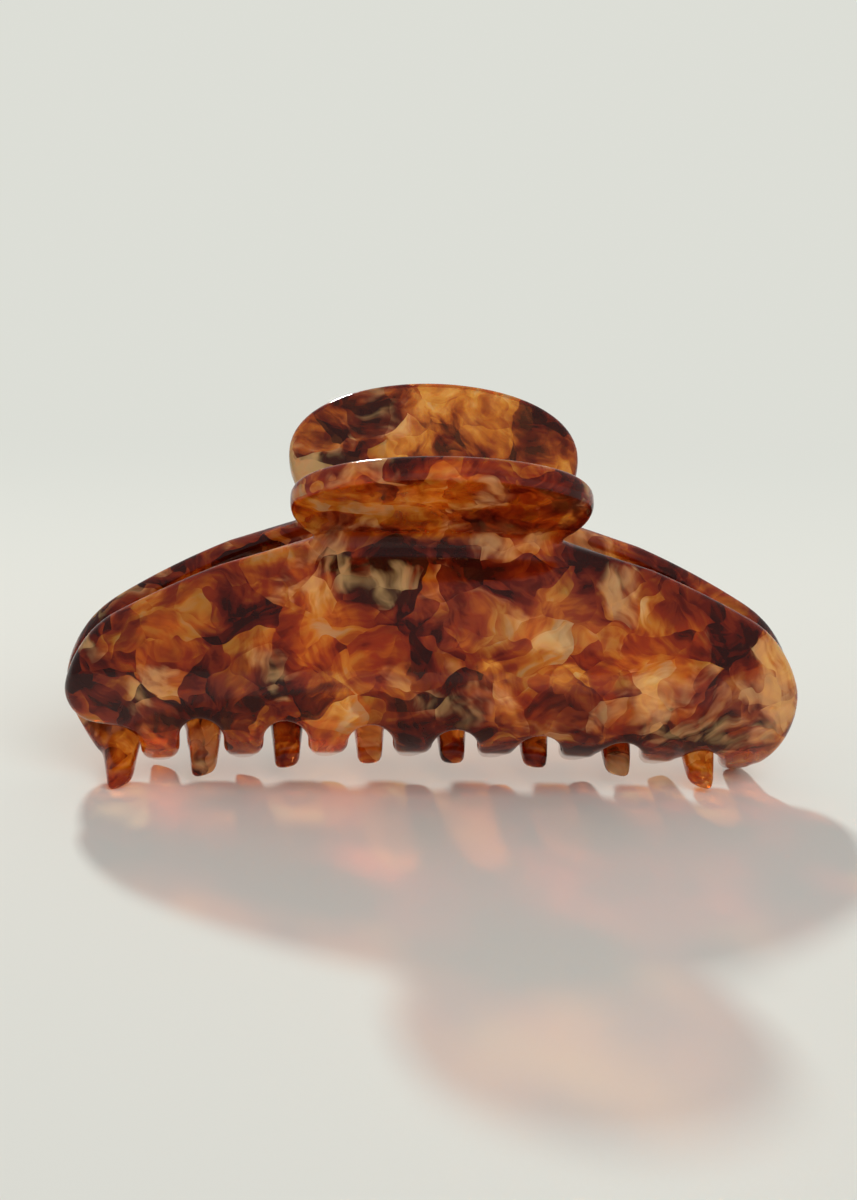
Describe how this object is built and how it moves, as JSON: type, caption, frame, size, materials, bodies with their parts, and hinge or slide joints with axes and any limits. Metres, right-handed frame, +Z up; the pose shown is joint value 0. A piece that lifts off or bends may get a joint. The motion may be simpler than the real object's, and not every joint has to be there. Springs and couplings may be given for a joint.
{
  "type": "hair claw clip",
  "caption": "Large spring claw for gathering hair: two curved marbled acetate jaws with interleaving teeth, wide finger handles and a steel hinge between the necks.",
  "frame": {"origin": "middle of the claw on the surface it stands on, under the hinge pin", "axes": "+X along the claw and its hinge pin, +Z up through the handles, -Y towards the front jaw"},
  "size_m": [0.11, 0.0516, 0.0572],
  "materials": {
    "acetate": "tumbled and polished marbled cellulose acetate, translucent",
    "plated_steel": "folded steel strip, nickel plated",
    "pin_steel": "headed steel pin, nickel plated",
    "spring_wire": "hard drawn spring wire, plated",
    "screw_steel": "small pan head screws, nickel plated"
  },
  "bodies": {
    "front_half": {"front_jaw": "acetate", "front_bracket": "plated_steel", "hinge_pin": "pin_steel", "front_screws": "screw_steel", "torsion_spring": "spring_wire"},
    "rear_half": {"rear_jaw": "acetate", "rear_bracket": "plated_steel", "rear_screws": "screw_steel"}
  },
  "joints": [
    {"name": "claw_hinge", "type": "hinge", "parent": "front_half", "child": "rear_half", "pos_m": [0, 0, 0.0404], "axis": [1, 0, 0], "range_deg": [0, 100], "stiffness_Nm_per_rad": 0.06, "springref_deg": -74.48, "deforming": ["torsion_spring"]}
  ]
}
